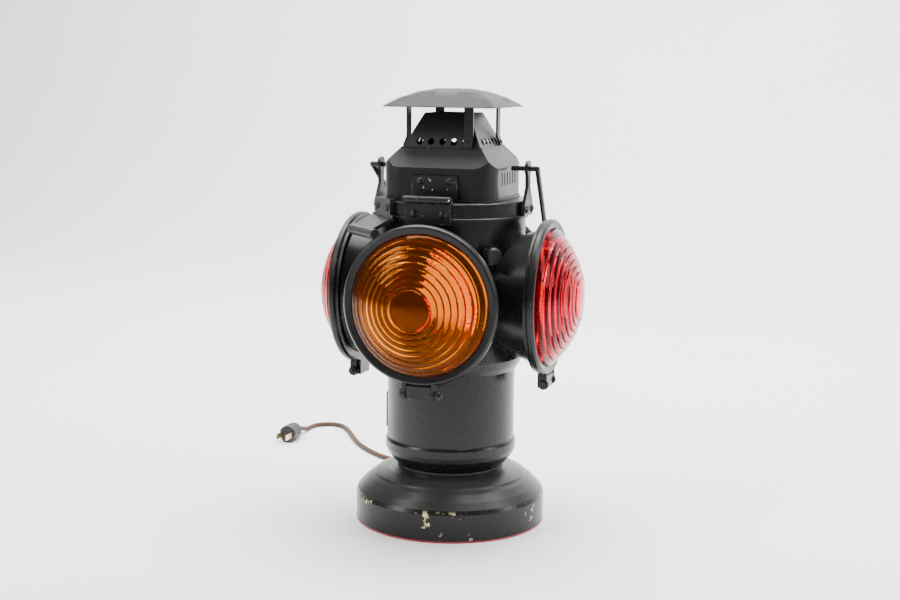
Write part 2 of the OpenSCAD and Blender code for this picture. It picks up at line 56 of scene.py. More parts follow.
MM = 0.001
SIDES = {"front": 0, "right": 90, "rear": 180, "left": 270}
FOOT_SIDE = 27 * MM  # height of the foot's upright side
BULB_NECK = 20 * MM  # height over which the bulb's glow rises from its cap
BRAID_REPEAT = 4 * MM  # length of one repeat of the woven cover
LENS_SEGMENTS = 144
CORD_PARTS = 4  # parts between two points of the cord
SLEEVE_PARTS = 12
SLEEVE_RIB = 0.35 * MM
SLEEVE_RIB_PITCH = 1.5 * MM
FLUTE_DEPTH = 0.55 * MM  # flutes of the plug's grip and ribs of the bracket's roll
ROLL_RADIUS = 5.0 * MM


# ---------- sizes and colours ----------
def colour(name, description, default):
    return FloatVectorProperty(name=name, description=description, subtype="COLOR", default=default,
                               min=0, max=1)


def share(name, description, default):
    return FloatProperty(name=name, description=description, subtype="FACTOR", default=default, min=0, max=1)


def millimetres(name, description, default):
    return FloatProperty(name=name, description=description, subtype="DISTANCE", unit="LENGTH",
                         default=default * MM, min=0)


def degrees(name, description, default):
    return FloatProperty(name=name, description=description, subtype="ANGLE", unit="ROTATION",
                         default=radians(default))


class SignalLampFinish(bpy.types.PropertyGroup):
    enamel: colour("Enamel", "Black enamel of the housing", (0.0045, 0.0045, 0.0048))
    undercoat: colour("Undercoat", "Paint that shows in the chips", (0.66, 0.62, 0.33))
    # This colour and the amount below also paint a sheen: a lighter grey on the faces that look up stands in
    # for the reflection of the bright room.
    dust_and_sheen: colour("Dust", "Dust on the faces that look up", (0.17, 0.165, 0.155))
    dust_and_sheen_amount: share("Dust amount", "How much dust lies on the upper faces", 0.16)
    chip_amount: share("Chip amount", "How much of the enamel's edges is chipped", 0.45)
    amber: colour("Amber glass", "Glass of the front and rear lenses", (0.95, 0.27, 0.006))
    red: colour("Red glass", "Glass of the side lenses", (0.72, 0.003, 0.030))
    felt: colour("Felt", "Felt under the foot", (0.30, 0.012, 0.03))
    braid: colour("Cord braid", "Woven cover of the mains cord", (0.075, 0.045, 0.026))
    glow: colour("Glow", "Light of the bulb", (1.0, 0.78, 0.42))
    glow_strength: FloatProperty(name="Glow strength", description="How strongly the bulb shines",
                                 default=1.7, min=0)


class SignalLampLens(bpy.types.PropertyGroup):
    rings: IntProperty(name="Rings", description="Steps around the bull's-eye", default=8, min=3)
    eye: millimetres("Bull's-eye radius", "Radius of the smooth middle of a lens", 20)
    rim: millimetres("Rim width", "Width of the flat rim that the bezel holds", 4)
    rim_height: millimetres("Rim height", "Thickness of the flat rim", 3.4)
    glass: millimetres("Glass thickness", "Thickness of the domed glass", 6)
    step: millimetres("Step depth", "Depth of a ring's inner step", 2.2)


class SignalLampCord(bpy.types.PropertyGroup):
    radius: millimetres("Cord radius", "Radius of the mains cord", 2.6)
    length: FloatProperty(name="Cord length", description="Length from the foot to the plug",
                          default=1.79, unit="LENGTH", subtype="DISTANCE")
    sleeve: millimetres("Strain relief length", "Length of the tapered rubber sleeve", 22)
    flutes: IntProperty(name="Grip flutes", description="Flutes around the plug", default=16, min=4)


class SignalLampStage(bpy.types.PropertyGroup):
    turn: degrees("Turn", "Direction that the camera looks from, to the right of the front", 17.65)
    rise: degrees("Rise", "Height angle of the camera", 8.78)
    roll: degrees("Roll", "Tilt of the camera about its own axis", 0.63)
    distance: FloatProperty(name="Distance", description="Distance to the lamp's middle",
                            default=1.4397, unit="LENGTH", subtype="DISTANCE")
    focal: FloatProperty(name="Focal length", description="Focal length of the camera", default=59.2,
                         unit="CAMERA", subtype="DISTANCE_CAMERA")
    height: millimetres("Aim height", "Height of the point that the camera looks at", 216.14)
    aside: FloatProperty(name="Aim shift", description="How far the aim lies to the right of the axis",
                         default=-1.96 * MM, unit="LENGTH", subtype="DISTANCE")
    floor: colour("Floor", "Colour of the floor and the wall", (0.92, 0.915, 0.91))


class SignalLamp(bpy.types.PropertyGroup):
    finish: PointerProperty(type=SignalLampFinish)
    lens: PointerProperty(type=SignalLampLens)
    cord: PointerProperty(type=SignalLampCord)
    stage: PointerProperty(type=SignalLampStage)


# ---------- shader sums ----------
class Sock:
    """A shader socket whose sums add Math nodes."""

    def __init__(self, net, link):
        self.net = net
        self.link = link

    def sum(self, operation, *others):
        values = dict(enumerate((self,) + others))
        return self.net.add("ShaderNodeMath", {"operation": operation}, values)["Value"]

    def __add__(self, other):
        return self.sum("ADD", other)

    def __mul__(self, other):
        return self.sum("MULTIPLY", other)

    def __sub__(self, other):
        return self.sum("SUBTRACT", other)

    def __rsub__(self, other):
        return self.net.add("ShaderNodeMath", {"operation": "SUBTRACT"}, {0: other, 1: self})["Value"]

    __radd__ = __add__
    __rmul__ = __mul__

    def wave(self):
        return self.sum("SINE")

    def high(self, other):
        return self.sum("MAXIMUM", other)

    def ramp(self, start, end):
        """0 below start, 1 above end and smooth between them."""
        settings = {"interpolation_type": "SMOOTHSTEP"}
        values = {"Value": self, "From Min": start, "From Max": end, "To Min": 0.0, "To Max": 1.0}
        return self.net.add("ShaderNodeMapRange", settings, values)["Result"]


class Made:
    """A node whose outputs are read by name or number."""

    def __init__(self, net, node):
        self.net = net
        self.node = node

    def __getitem__(self, key):
        return Sock(self.net, self.node.outputs[key])


class Net:
    """A new material and its node tree."""

    def __init__(self, name):
        self.material = bpy.data.materials.new(name)
        self.material.use_nodes = True
        self.tree = self.material.node_tree
        self.tree.nodes.clear()

    def add(self, kind, settings=None, values=None):
        node = self.tree.nodes.new(kind)
        for key, value in (settings or {}).items():
            setattr(node, key, value)
        for key, value in (values or {}).items():
            if isinstance(value, Sock):
                self.tree.links.new(value.link, node.inputs[key])
            elif hasattr(value, "__len__") and len(value) == 3 and node.inputs[key].type == "RGBA":
                node.inputs[key].default_value = (*value, 1)
            else:
                node.inputs[key].default_value = value
        return Made(self, node)

    def place(self):
        return self.add("ShaderNodeTexCoord")["Object"]

    def part(self, vector, axis):
        return self.add("ShaderNodeSeparateXYZ", None, {0: vector})[axis]

    def facing_up(self):
        return self.part(self.add("ShaderNodeTexCoord")["Normal"], "Z").high(0.0)

    def noise(self, scale, detail=3.0, rough=0.5, vector=None):
        values = {"Vector": vector or self.place(), "Scale": scale, "Detail": detail, "Roughness": rough}
        return self.add("ShaderNodeTexNoise", None, values)["Fac"]

    def cells(self, scale, vector=None):
        values = {"Vector": vector or self.place(), "Scale": scale}
        return self.add("ShaderNodeTexVoronoi", {"feature": "F1"}, values)["Distance"]

    def mix(self, factor, first, second):
        return self.add("ShaderNodeMix", {"data_type": "RGBA"}, {0: factor, 6: first, 7: second})[2]

    def edges(self, radius):
        """1 on the outer and inner edges of a part."""
        soft = self.add("ShaderNodeBevel", {"samples": 4}, {"Radius": radius})["Normal"]
        flat = self.add("ShaderNodeNewGeometry")["Normal"]
        dot = self.add("ShaderNodeVectorMath", {"operation": "DOT_PRODUCT"}, {0: soft, 1: flat})["Value"]
        return (1 - dot).ramp(0.02, 0.14)

    def bump(self, height, distance, strength=1.0):
        return self.add("ShaderNodeBump", None, {"Height": height, "Distance": distance,
                                                 "Strength": strength})["Normal"]

    def finish(self, **values):
        names = {key.replace("_", " "): value for key, value in values.items()}
        shader = self.add("ShaderNodeBsdfPrincipled", None, names)["BSDF"]
        self.add("ShaderNodeOutputMaterial", None, {"Surface": shader})
        return self.material


# ---------- finishes ----------
def black_enamel(look, name, chips=0.5, dust_and_sheen_weight=1.0, gloss=0.17, cast=0.0):
    """Old gloss enamel: sheen that varies, a grey on the faces that look up that is partly dirt and partly
    painted sheen, chipped edges and a faint orange peel.
    """
    net = Net(name)
    blotch = net.noise(14, 4, 0.6)
    grain = net.noise(300, 5, 0.65)
    speck = net.noise(900, 2)
    edge = net.edges(0.9 * MM)
    flakes = net.noise(190, 5, 0.7) + net.noise(30) * 0.35
    chip = edge * flakes.ramp(0.86 - 0.12 * chips, 0.90 - 0.10 * chips)
    # Painted sheen with dirt: grey on the faces that look up, partly dirt and partly a painted reflection of
    # the bright room; the cells add real specks.
    dust_and_sheen = net.facing_up().ramp(0.25, 0.95) * (0.35 + blotch * 0.9) * dust_and_sheen_weight * look.dust_and_sheen_amount
    dust_and_sheen = dust_and_sheen + net.cells(330).ramp(0.10, 0.03) * 0.10 * dust_and_sheen_weight
    paint = net.mix(blotch.ramp(0.3, 0.8), look.enamel, [c * 1.5 + 0.001 for c in look.enamel])
    paint = net.mix(dust_and_sheen, paint, look.dust_and_sheen)
    paint = net.mix(chip * look.chip_amount * 1.6, paint, look.undercoat)
    rough = gloss + blotch * 0.12 + grain * 0.08 + dust_and_sheen * 0.6 + chip * 0.3 + cast * 0.2
    height = grain * (0.10 + cast * 0.5) + net.noise(60) * (0.25 + cast) + speck * 0.04 - chip * 0.6
    return net.finish(Base_Color=paint, Roughness=rough, Specular_IOR_Level=0.27,
                      Normal=net.bump(height, 0.12 * MM, 0.7))


def foot_enamel(look):
    """Enamel on the cast foot, with chips around its upright side."""
    net = Net("foot_enamel")
    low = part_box("foot")[0]
    rim = low.z + FOOT_SIDE
    height = net.part(net.place(), "Z")
    blotch = net.noise(12, 4, 0.6)
    grain = net.noise(260, 5, 0.65)
    upright = height.ramp(low.z, low.z + 3 * MM) * (1 - height.ramp(rim - 1 * MM, rim + 2.5 * MM))
    patches = net.noise(26, 3, 0.5).ramp(0.50, 0.62)
    flakes = net.noise(130, 7, 0.6)
    chip = upright * (flakes * 0.72 + patches * 0.30).ramp(0.672, 0.687)
    rim_line = height.ramp(rim - 1.5 * MM, rim) * (1 - height.ramp(rim, rim + 3.5 * MM))
    chip = chip.high(rim_line * net.noise(210, 6, 0.7).ramp(0.625, 0.645))
    # Painted sheen with dirt: grey on the faces that look up, partly dirt and partly a painted reflection of
    # the bright room.
    dust_and_sheen = net.facing_up().ramp(0.2, 0.9) * (0.3 + blotch) * look.dust_and_sheen_amount * 1.1
    paint = net.mix(blotch.ramp(0.3, 0.8), look.enamel, [c * 1.6 + 0.001 for c in look.enamel])
    paint = net.mix(dust_and_sheen, paint, look.dust_and_sheen)
    ground = net.mix(net.noise(90, 3).ramp(0.42, 0.6), look.undercoat, (0.28, 0.20, 0.10))
    paint = net.mix(chip * 0.9, paint, ground)
    rough = 0.15 + blotch * 0.12 + grain * 0.08 + dust_and_sheen * 0.6 + chip * 0.35
    lumps = grain * 0.12 + net.noise(45) * 0.6 - chip * 1.2
    return net.finish(Base_Color=paint, Roughness=rough, Specular_IOR_Level=0.3,
                      Normal=net.bump(lumps, 0.15 * MM, 0.8))


def pressed_cap(look):
    """Worn sheet with an irregular pressed pattern, lighter where it stands proud."""
    net = Net("pressed_cap")
    drift = net.add("ShaderNodeTexNoise", None, {"Vector": net.place(), "Scale": 45, "Detail": 3})["Color"]
    warped = net.add("ShaderNodeVectorMath", {"operation": "MULTIPLY_ADD"},
                     {0: drift, 1: (0.022, 0.022, 0.022), 2: net.place()})["Vector"]
    raised = (net.noise(85, 2, 0.4, warped) * 0.7 + net.cells(120, warped) * 0.5).ramp(0.50, 0.60)
    worn = net.noise(60, 7, 0.72)
    rubbed = (raised * 0.45 + worn * 0.75).ramp(0.62, 0.95)
    reach = net.add("ShaderNodeVectorMath", {"operation": "LENGTH"},
                    {0: net.add("ShaderNodeVectorMath", {"operation": "MULTIPLY"},
                                {0: net.place(), 1: (1, 1, 0)})["Vector"]})["Value"]
    top = net.facing_up().ramp(0.1, 0.7) * (1 - reach.ramp(30 * MM, 42 * MM))
    paint = net.mix(worn.ramp(0.4, 0.7), (0.006, 0.006, 0.0065), (0.018, 0.0175, 0.017))
    paint = net.mix(rubbed * top * 0.7, paint, (0.075, 0.074, 0.072))
    paint = net.mix(net.edges(0.8 * MM) * worn.ramp(0.40, 0.6) * 0.6, paint, (0.22, 0.21, 0.20))
    rough = 0.28 + worn * 0.3 - rubbed * 0.05
    height = raised * top + worn * 0.25 + net.noise(240, 4) * 0.12
    return net.finish(Base_Color=paint, Roughness=rough, Metallic=rubbed * 0.2, Specular_IOR_Level=0.14,
                      Normal=net.bump(height, 0.7 * MM, 0.9))


def worn_steel(name, dark, bright, wear=0.5, metal=0.6, flecks=0.0):
    """Steel with worn black paint: bright rubs on its edges, a little rust and paint flecks."""
    net = Net(name)
    blotch = net.noise(40, 6, 0.65)
    grain = net.noise(420, 4, 0.6)
    patches = blotch * 0.5 + net.noise(150, 4) * 0.5
    rub = net.edges(0.6 * MM) * patches.ramp(0.62 - 0.25 * wear, 0.72 - 0.2 * wear)
    paint = net.mix(rub, net.mix(blotch, dark, [c * 0.5 for c in dark]), bright)
    rust = net.noise(75, 6, 0.7).ramp(0.60, 0.74) * 0.4
    paint = net.mix(rust, paint, (0.050, 0.022, 0.011))
    fleck = net.noise(230, 5, 0.6).ramp(0.665, 0.68) * flecks
    paint = net.mix(fleck, paint, (0.78, 0.75, 0.66))
    height = grain * 0.4 + blotch * 0.6 - rust * 0.5
    return net.finish(Base_Color=paint, Metallic=rub * metal, Roughness=0.26 + grain * 0.18 + rust * 0.35,
                      Specular_IOR_Level=0.32, Normal=net.bump(height, 0.10 * MM, 0.7))


def felt(look):
    """Dyed wool felt with loose fibres."""
    net = Net("felt")
    fibre = net.noise(1500, 6, 0.75)
    tuft = net.noise(320, 4, 0.7)
    paint = net.mix(tuft * 0.6 + fibre * 0.4,
                    [c * 0.45 for c in look.felt], [min(1, c * 1.9) for c in look.felt])
    return net.finish(Base_Color=paint, Roughness=0.88 + fibre * 0.1, Sheen_Weight=0.5, Sheen_Roughness=0.5,
                      Normal=net.bump(fibre + tuft * 0.8, 0.35 * MM, 0.9))


def lens_glass(name, tint):
    """Pressed coloured glass with dirt in its steps and small flow marks, and a faint painted glow in its own
    tint.
    """
    net = Net(name)
    film = net.noise(30, 5, 0.65)
    seeds = net.cells(260).ramp(0.10, 0.03)
    deep = net.mix(film.ramp(0.35, 0.7), tint, [c * 0.82 for c in tint])
    rough = 0.015 + film.ramp(0.45, 0.8) * 0.06
    # Painted glow: a faint emission in the glass's tint stands in for light scattered inside the lens.
    painted_glow = net.mix(film, [c * 0.35 for c in tint], [c * 0.75 for c in tint])
    return net.finish(Base_Color=deep, Roughness=rough, IOR=1.46, Transmission_Weight=1.0,
                      Specular_Tint=(*tint, 1), Emission_Color=painted_glow, Emission_Strength=0.05,
                      Normal=net.bump(net.noise(40, 2) + seeds * 0.1, 0.15 * MM, 0.4))


def opal_bulb(look):
    """Frosted bulb, brighter around its middle."""
    net = Net("opal_bulb")
    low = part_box("bulb")[0]
    rise = net.part(net.place(), "Z")
    belly = rise.ramp(low.z, low.z + BULB_NECK)
    cloud = net.noise(60, 4, 0.6)
    shine = net.mix(belly * (0.7 + cloud * 0.3), [c * 0.35 for c in look.glow], look.glow)
    opal = net.mix(cloud, (0.86, 0.80, 0.70), (0.95, 0.91, 0.84))
    return net.finish(Base_Color=opal, Roughness=0.28 + cloud * 0.1, Emission_Color=shine,
                      Emission_Strength=look.glow_strength,
                      Normal=net.bump(net.noise(500, 3), 0.05 * MM, 0.4))


def plated(name, bright, stain, rough=0.28):
    """Bare or plated metal with stains and fine turning marks."""
    net = Net(name)
    mark = net.noise(50, 6, 0.7)
    turned = (net.part(net.place(), "Z") * 9000).wave() * 0.5 + 0.5
    paint = net.mix(mark.ramp(0.42, 0.70) * 0.8, bright, stain)
    return net.finish(Base_Color=paint, Metallic=1 - mark.ramp(0.5, 0.8) * 0.35,
                      Roughness=rough + mark * 0.25,
                      Normal=net.bump(turned * 0.4 + net.noise(500, 3), 0.03 * MM, 0.6))


def moulded(name, tone, rough=0.45, scale=260.0):
    """Moulded rubber or plastic with a fine surface grain and bloom."""
    net = Net(name)
    bloom = net.noise(38, 5, 0.65)
    grain = net.noise(scale, 5, 0.7)
    paint = net.mix(bloom.ramp(0.4, 0.75), tone, [c * 1.8 + 0.012 for c in tone])
    return net.finish(Base_Color=paint, Roughness=rough + bloom * 0.2 + grain * 0.1,
                      Normal=net.bump(grain + net.noise(900, 2) * 0.5, 0.08 * MM, 0.7))


def braid_cloth(look):
    """Woven cotton cover: two sets of threads that cross around the cord."""
    net = Net("braid_cloth")
    sheet = net.add("ShaderNodeUVMap")["UV"]
    around = net.part(sheet, "X") * tau
    along = net.part(sheet, "Y") * tau
    left = (around * 6 + along * 1.0).wave()
    right = (around * 6 - along * 1.0).wave()
    weave = left * right * 0.5 + 0.5
    fuzz = net.noise(1400, 4, 0.7)
    soil = net.noise(30, 4)
    paint = net.mix(weave * 0.7 + fuzz * 0.3,
                    [c * 0.4 for c in look.braid], [min(1, c * 1.7) for c in look.braid])
    paint = net.mix(soil.ramp(0.5, 0.8) * 0.4, paint, (0.05, 0.038, 0.028))
    return net.finish(Base_Color=paint, Roughness=0.75 + fuzz * 0.15, Sheen_Weight=0.08,
                      Specular_IOR_Level=0.25, Normal=net.bump(weave + fuzz * 0.4, 0.30 * MM, 0.9))


def plaster(look):
    """Pale matt floor with a very slight mottle."""
    net = Net("pale_floor")
    cloud = net.noise(3, 4, 0.5)
    paint = net.mix(cloud.ramp(0.3, 0.7), look.floor, [c * 0.985 for c in look.floor])
    return net.finish(Base_Color=paint, Roughness=0.72 + cloud * 0.05,
                      Normal=net.bump(net.noise(350, 3), 0.02 * MM, 0.3))


# ---------- shared shapes ----------
def new_piece(name, points, faces, material, sharp=40, uvs=None):
    mesh = bpy.data.meshes.new(name)
    mesh.from_pydata([tuple(p) for p in points], [], faces)
    if uvs:
        layer = mesh.uv_layers.new(name="UVMap")
        for loop, uv in zip(layer.data, (uv for face in uvs for uv in face)):
            loop.uv = uv
    mesh.validate()
    form = bmesh.new()
    form.from_mesh(mesh)
    bmesh.ops.recalc_face_normals(form, faces=form.faces)
    form.to_mesh(mesh)
    form.free()
    mesh.shade_smooth()
    mesh.set_sharp_from_angle(angle=radians(sharp))
    mesh.materials.append(material)
    piece = bpy.data.objects.new(name, mesh)
    bpy.context.scene.collection.objects.link(piece)
    return piece


def turned_form(profile, place, segments, radius_at=None):
    """Points and faces of an outline of (radius, height) turned about its own axis."""
    points = []
    for radius, height in profile:
        for k in range(segments):
            turn = tau * k / segments
            reach = radius_at(radius, height, turn) if radius_at else radius
            points.append(place @ Vector((reach * cos(turn), reach * sin(turn), height)))
    faces = []
    for i in range(len(profile) - 1):
        for k in range(segments):
            n = (k + 1) % segments
            faces.append((i * segments + k, i * segments + n, (i + 1) * segments + n, (i + 1) * segments + k))
    return points, faces


def smooth_line(points, parts):
    """A curve through every point, with a number of parts between each two."""
    points = [Vector(p) for p in points]
    line = []
    for i in range(len(points) - 1):
        a, b, c, d = points[max(i - 1, 0)], points[i], points[i + 1], points[min(i + 2, len(points) - 1)]
        for k in range(parts):
            t = k / parts
            line.append(0.5 * (2 * b + (c - a) * t + (2 * a - 5 * b + 4 * c - d) * t * t
                               + (3 * b - a - 3 * c + d) * t ** 3))
    return line + [points[-1]]


def tube(name, path, radii, material, sides=16):
    """A tube along a path, with its length in the second map coordinate, in cord widths."""
    points, faces, uvs = [], [], []
    run = 0.0
    lengths = []
    across = None
    for i, point in enumerate(path):
        ahead = (path[min(i + 1, len(path) - 1)] - path[max(i - 1, 0)]).normalized()
        across = (across or ahead.cross(Vector((0, 0, 1))))
        across = (across - ahead * across.dot(ahead)).normalized()
        other = ahead.cross(across)
        if i:
            run += (point - path[i - 1]).length
        lengths.append(run / BRAID_REPEAT)
        for k in range(sides):
            turn = tau * k / sides
            points.append(point + radii[i] * (cos(turn) * across + sin(turn) * other))
    for i in range(len(path) - 1):
        for k in range(sides):
            n = (k + 1) % sides
            faces.append((i * sides + k, i * sides + n, (i + 1) * sides + n, (i + 1) * sides + k))
            u, v = k / sides, (k + 1) / sides
            uvs.append([(u, lengths[i]), (v, lengths[i]), (v, lengths[i + 1]), (u, lengths[i + 1])])
    for ring, turn in ((0, -1), (len(path) - 1, 1)):
        face = [ring * sides + k for k in range(sides)][::turn]
        faces.append(tuple(face))
        uvs.append([(k / sides, lengths[ring]) for k in range(sides)])
    return new_piece(name, points, faces, material, 60, uvs)


def paint(nodes, material):
    """Gives a finish to carried-over parts."""
    for name in nodes:
        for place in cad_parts[name].material_slots:
            place.material = material


# ---------- cord ----------
# Points of the cord in millimetres: from the foot to the coil, and from the coil to the plug
LEAD = [(-28.2, 88.6, 9), (-30.5, 96, 8.4), (-35, 103, 6.2), (-42, 108.4, 4), (-51, 111.7, 2.8),
        (-62.2, 115.2, 2.65)]
RUN = [(-85.8, 139.4, 7.9), (-89, 148.6, 7.4), (-94.6, 157.4, 6), (-102.4, 164.4, 4.2), (-112, 169, 3),
       (-122, 172, 2.65), (-135, 177.5, 2.65), (-148, 187, 2.65), (-163, 201, 2.65), (-176, 215, 2.65),
       (-188, 230.5, 2.65), (-203, 254, 2.65), (-217, 277, 2.65), (-227.5, 291.5, 2.65), (-237.2, 300.6, 2.65),
       (-248.6, 303.4, 2.65), (-259.6, 299.6, 2.65), (-266.8, 290.8, 2.65), (-269, 280, 2.65), (-269, 269, 3.3),
       (-269, 257, 6.3), (-269, 243, 9.8)]
COIL = {"middle": (-47, 153.6), "radius": 41.3, "pitch": 5.25, "turns": 7.134, "start": -111.6, "low": 2.65}


def coil_path():
    """Turns that wind inward on the floor, step up and wind outward on top."""
    per_turn = 28
    count = round(COIL["turns"] * per_turn)
    step_up = 0.5
    flat = (COIL["turns"] - step_up) / 2
    path = []
    for i in range(1, count):
        t = COIL["turns"] * i / count
        inward = t if t < COIL["turns"] / 2 else COIL["turns"] - t
        radius = COIL["radius"] - COIL["pitch"] * inward
        climb = min(1, max(0, (t - flat) / step_up))
        height = COIL["low"] + COIL["pitch"] * climb * climb * (3 - 2 * climb)
        turn = radians(COIL["start"]) - tau * t
        x, y = COIL["middle"]
        path.append(Vector((x + radius * cos(turn), y + radius * sin(turn), height)) * MM)
    return path


def cord_path():
    lead = [p * MM for p in smooth_line(LEAD, CORD_PARTS)]
    run = [p * MM for p in smooth_line(RUN, CORD_PARTS)]
    return lead + coil_path() + run


def make_cord(lamp):
    path = cord_path()
    radius = lamp.cord.radius
    cord = tube("mains_cord", path, [radius] * len(path), braid_cloth(lamp.finish))
    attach(cord, "body")
    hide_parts("cord_lead", "cord_coil", "cord_run")
    sleeve = make_sleeve(lamp)
    plug = make_plug(lamp)


def make_sleeve(lamp):
    """Tapered rubber sleeve with ribs, around the cord where it leaves the foot."""
    line = [p * MM for p in smooth_line(LEAD[:5], SLEEVE_PARTS)]
    path, radii, run = [], [], 0.0
    for i, point in enumerate(line):
        if i:
            run += (point - line[i - 1]).length
        if run > lamp.cord.sleeve:
            break
        share_done = run / lamp.cord.sleeve
        rib = SLEEVE_RIB if floor(run / SLEEVE_RIB_PITCH) % 2 else 0.0
        path.append(point)
        radii.append(lamp.cord.radius + (2.0 * (1 - share_done) + 0.35) * MM + rib * (1 - share_done))
    sleeve = tube("cord_sleeve", path, radii, moulded("sleeve_rubber", (0.014, 0.013, 0.013), 0.55), 24)
    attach(sleeve, "body")
    return sleeve


def make_plug(lamp):
    """Moulded plug with a fluted grip and a rounded face."""
    low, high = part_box("plug")
    middle = (low + high) / 2
    radius = (high.x - low.x) / 2
    length = high.y - low.y
    place = Matrix.Translation(Vector((middle.x, high.y, middle.z))) @ Matrix.Rotation(pi / 2, 4, "X")
    grip = (10.5 * MM, length - 7 * MM)
    neck = lamp.cord.radius + 0.1 * MM
    profile = [(neck, 0.0), (3.9 * MM, 0.15 * MM), (4.3 * MM, 1.0 * MM), (5.2 * MM, 4 * MM),
               (7.2 * MM, 9.2 * MM), (8.2 * MM, 10.2 * MM), (radius - 0.7 * MM, 11 * MM)]
    profile += [(radius - 0.1 * MM, grip[0] + (grip[1] - grip[0]) * k / 10) for k in range(1, 11)]
    profile += [(radius, length - 5.6 * MM), (radius, length - 1.2 * MM),
                (radius - 0.4 * MM, length - 0.4 * MM), (radius - 1.2 * MM, length), (radius * 0.5, length), (0.02 * MM, length)]

    def fluted(reach, height, turn):
        held = grip[0] + 0.5 * MM < height < grip[1] + 0.2 * MM
        return reach - (FLUTE_DEPTH * (0.5 + 0.5 * cos(turn * lamp.cord.flutes)) if held else 0)

    points, faces = turned_form(profile, place, lamp.cord.flutes * 8, fluted)
    plug = new_piece("plug_body", points, faces, moulded("plug_moulding", (0.006, 0.0055, 0.0055), 0.30), 35)
    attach(plug, "body")
    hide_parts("plug")
    return plug


# ---------- lenses ----------
def lens_outline(sizes):
    """Closed outline of a stepped lens as (radius, distance from the lamp's axis)."""
    low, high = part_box("front_lens")
    rim_radius = (high.x - low.x) / 2
    apex = -low.y
    back = -high.y
    glass = rim_radius - sizes.rim
    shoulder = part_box("front_bezel")[0].y * -1
    dome_height = apex - shoulder
    ball = (glass * glass + dome_height * dome_height) / (2 * dome_height)

    def crown(radius):
        return apex - ball + sqrt(ball * ball - radius * radius)

    outline = [(0.02 * MM + sizes.eye * k / 12, crown(sizes.eye * k / 12)) for k in range(12)]
    width = (glass - sizes.eye) / sizes.rings
    for ring in range(sizes.rings):
        start = sizes.eye + ring * width
        for t in (0.02, 0.07, 0.13, 0.20, 0.30, 0.45, 0.62, 0.80, 0.99):
            radius = start + width * t
            outline.append((radius, crown(radius) - sizes.step * (1 - t) ** 4))
    seat = back + sizes.rim_height
    outline += [(glass - 0.3 * MM, seat), (rim_radius - 0.3 * MM, seat),
                (rim_radius - 0.05 * MM, seat - 0.4 * MM), (rim_radius - 0.05 * MM, back + 0.4 * MM),
                (rim_radius - 0.4 * MM, back), (glass - 5 * MM, back)]
    inner = glass - 9 * MM
    outline += [(max(inner * k / 20, 0.02 * MM), crown(inner * k / 20) - sizes.glass)
                for k in range(20, -1, -1)]
    return outline


def make_lenses(lamp):
    height = (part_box("front_lens")[0].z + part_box("front_lens")[1].z) / 2
    glasses = {"front": lens_glass("amber_lens_glass", lamp.finish.amber)}
    glasses["right"] = lens_glass("red_lens_glass", lamp.finish.red)
    glasses["rear"] = glasses["front"]
    glasses["left"] = glasses["right"]
    outline = lens_outline(lamp.lens)
    for side, turn in SIDES.items():
        place = (Matrix.Translation((0, 0, height)) @ Matrix.Rotation(radians(turn), 4, "Z")
                 @ Matrix.Rotation(pi / 2, 4, "X"))
        points, faces = turned_form(outline, place, LENS_SEGMENTS)
        lens = new_piece(side + "_stepped_lens", points, faces, glasses[side], 28)
        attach(lens, "body")
        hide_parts(side + "_lens")


# ---------- bracket roll ----------
def make_roll():
    """Pressed ribs along the rolled end of the corner bracket."""
    low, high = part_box("bracket_pin")
    middle = (low + high) / 2
    along = Vector((1, -1, 0)).normalized()
    half = (high - low).length / 2 - 1 * MM
    ribs = 17
    per_rib = 8
    path, radii = [], []
    for i in range(ribs * per_rib + 1):
        t = i / (ribs * per_rib)
        path.append(middle + along * half * (2 * t - 1))
        radii.append(ROLL_RADIUS - FLUTE_DEPTH * (0.5 + 0.5 * cos(tau * i / per_rib)))
    material = worn_steel("ribbed_roll_steel", (0.045, 0.045, 0.044), (0.28, 0.28, 0.27), 0.75, 0.45)
    roll = tube("ribbed_roll", path, radii, material, 28)
    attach(roll, "body")


# ---------- finishes of the carried-over parts ----------
def finish_housing(look):
    paint(["drum", "barrel", "collar", "sight_tube"], black_enamel(look, "housing_enamel", 0.4))
    paint([side + "_bezel" for side in SIDES], black_enamel(look, "bezel_enamel", 0.6, 0.6, 0.16, 0.2))
    # The lid's larger weight paints a stronger sheen on its shoulder along with its dirt.
    paint(["lid", "vent_hood"], black_enamel(look, "lid_enamel", 0.5, 1.5, 0.19, 0.25))
    paint(["foot"], foot_enamel(look))
    paint(["rain_cap"], pressed_cap(look))
    paint(["number_plate"], black_enamel(look, "plate_enamel", 0.5, 0.9, 0.26, 0.2))


def finish_fittings(look):
    hinge = worn_steel("hinge_paint", (0.009, 0.009, 0.009), (0.60, 0.58, 0.52), 0.45, 0.2, 1.0)
    paint(["hinge_lid_leaf", "hinge_body_leaf", "hinge_pin"], hinge)
    steel = worn_steel("dark_steel", (0.009, 0.009, 0.009), (0.12, 0.115, 0.11), 0.45)
    paint(["bail", "bail_ears", "cap_straps", "sight_plug", "bracket_pin"], steel)
    heads = worn_steel("rivet_heads", (0.012, 0.012, 0.0115), (0.20, 0.19, 0.175), 0.6, 0.5, 0.4)
    paint(["ear_rivets", "bracket_rivets", "strap_rivets", "hinge_lid_rivets", "hinge_body_rivets",
           "bezel_bolts", "bezel_nuts"], heads)
    bracket = worn_steel("bracket_grey", (0.030, 0.030, 0.0295), (0.20, 0.20, 0.19), 0.6, 0.4)
    paint(["corner_bracket"], bracket)


